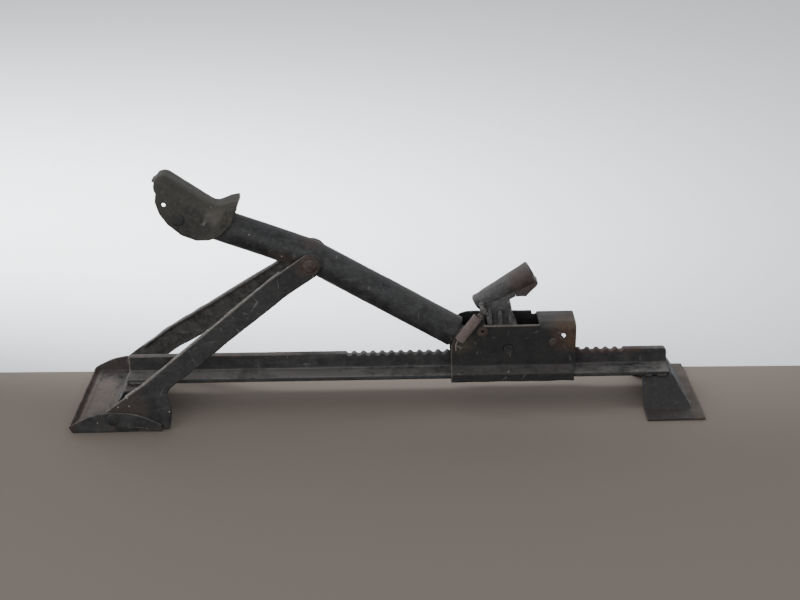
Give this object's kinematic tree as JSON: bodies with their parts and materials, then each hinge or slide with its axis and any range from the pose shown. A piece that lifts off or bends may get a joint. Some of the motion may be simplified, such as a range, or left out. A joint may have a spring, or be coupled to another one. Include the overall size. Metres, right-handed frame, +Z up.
{
  "type": "ratchet rail lifting jack",
  "caption": "Vintage hand jack for a car axle: toothed rail on pressed feet, A-frame legs, bent tubular lift arm with swivelling saddle, and a ratchet carriage with a handle socket.",
  "frame": {"origin": "on the ground under the middle of the jack, lowered", "axes": "+X along the rail from the front foot to the rear foot, +Y across the rail to the far side, +Z up"},
  "size_m": [0.652, 0.1532, 0.2539],
  "materials": {
    "black_paint": "worn satin black paint with rust at the edges",
    "dusty_paint": "black paint under dust and rust",
    "rail_steel": "worn black paint, dusty on the flange",
    "cast_grey": "worn cast iron, rusty at the mouth",
    "rusty_steel": "rusted steel",
    "spring_steel": "rusted spring wire",
    "weld": "painted weld metal"
  },
  "bodies": {
    "base": {"front_foot": "dusty_paint", "rail": "rail_steel", "rear_foot": "black_paint", "rail_chair": "dusty_paint", "front_weld_beads": "weld", "rear_weld_beads": "weld", "leg_pivot_rivets": "black_paint"},
    "carriage": {"carriage_shell": "black_paint", "tie_rivet": "rusty_steel", "tie_spacer": "rusty_steel", "rocker_pin": "black_paint", "holding_pawl_pin": "rusty_steel", "spring_hook": "spring_steel", "return_spring": "spring_steel", "holding_pawl_spring": "spring_steel"},
    "legs": {"near_leg": "black_paint", "far_leg": "black_paint", "leg_bolt": "rusty_steel", "leg_nut": "rusty_steel", "leg_washers": "rusty_steel"},
    "arm": {"arm_tube": "black_paint", "arm_sleeve": "rusty_steel", "arm_foot": "cast_grey", "arm_foot_pin": "rusty_steel", "saddle_pin": "black_paint"},
    "saddle": {"saddle": "black_paint"},
    "rocker": {"rocker": "cast_grey", "handle_socket": "cast_grey", "spring_peg": "cast_grey", "drive_pawl_pin": "rusty_steel", "drive_pawl_spring": "spring_steel"},
    "drive_pawl": {"drive_pawl": "rusty_steel"},
    "holding_pawl": {"holding_pawl": "rusty_steel"}
  },
  "joints": [
    {"name": "carriage_slide", "type": "slide", "parent": "base", "child": "carriage", "axis": [1, 0, 0], "range_m": [-0.1175, 0]},
    {"name": "leg_fold", "type": "hinge", "parent": "base", "child": "legs", "pos_m": [-0.2804, 0, 0.0145], "axis": [0, -1, 0], "range_deg": [0, 20.4]},
    {"name": "arm_lift", "type": "hinge", "parent": "legs", "child": "arm", "pos_m": [-0.0766, 0, 0.15826], "axis": [0, 1, 0], "range_deg": [0, 45]},
    {"name": "saddle_tilt", "type": "hinge", "parent": "arm", "child": "saddle", "pos_m": [-0.2078, 0, 0.2091], "axis": [0, -1, 0], "range_deg": [0, 30]},
    {"name": "handle_rocker", "type": "hinge", "parent": "carriage", "child": "rocker", "pos_m": [0.1264, 0, 0.0616], "axis": [0, 1, 0], "range_deg": [0, 30], "stiffness_Nm_per_rad": 1.5, "springref_deg": -17.19, "deforming": ["return_spring"]},
    {"name": "drive_pawl_swing", "type": "hinge", "parent": "rocker", "child": "drive_pawl", "pos_m": [0.131, 0, 0.08], "axis": [0, -1, 0], "range_deg": [0, 41.2]},
    {"name": "holding_pawl_lift", "type": "hinge", "parent": "carriage", "child": "holding_pawl", "pos_m": [0.173, 0, 0.0688], "axis": [0, -1, 0], "range_deg": [0, 18], "stiffness_Nm_per_rad": 0.03, "springref_deg": -17.19}
  ],
  "couplings": [
    {"joint": "leg_fold", "follows": "carriage_slide", "rad_per_m": -3.0302},
    {"joint": "arm_lift", "follows": "carriage_slide", "rad_per_m": -6.6842},
    {"joint": "drive_pawl_swing", "follows": "handle_rocker", "ratio": 1.37}
  ]
}
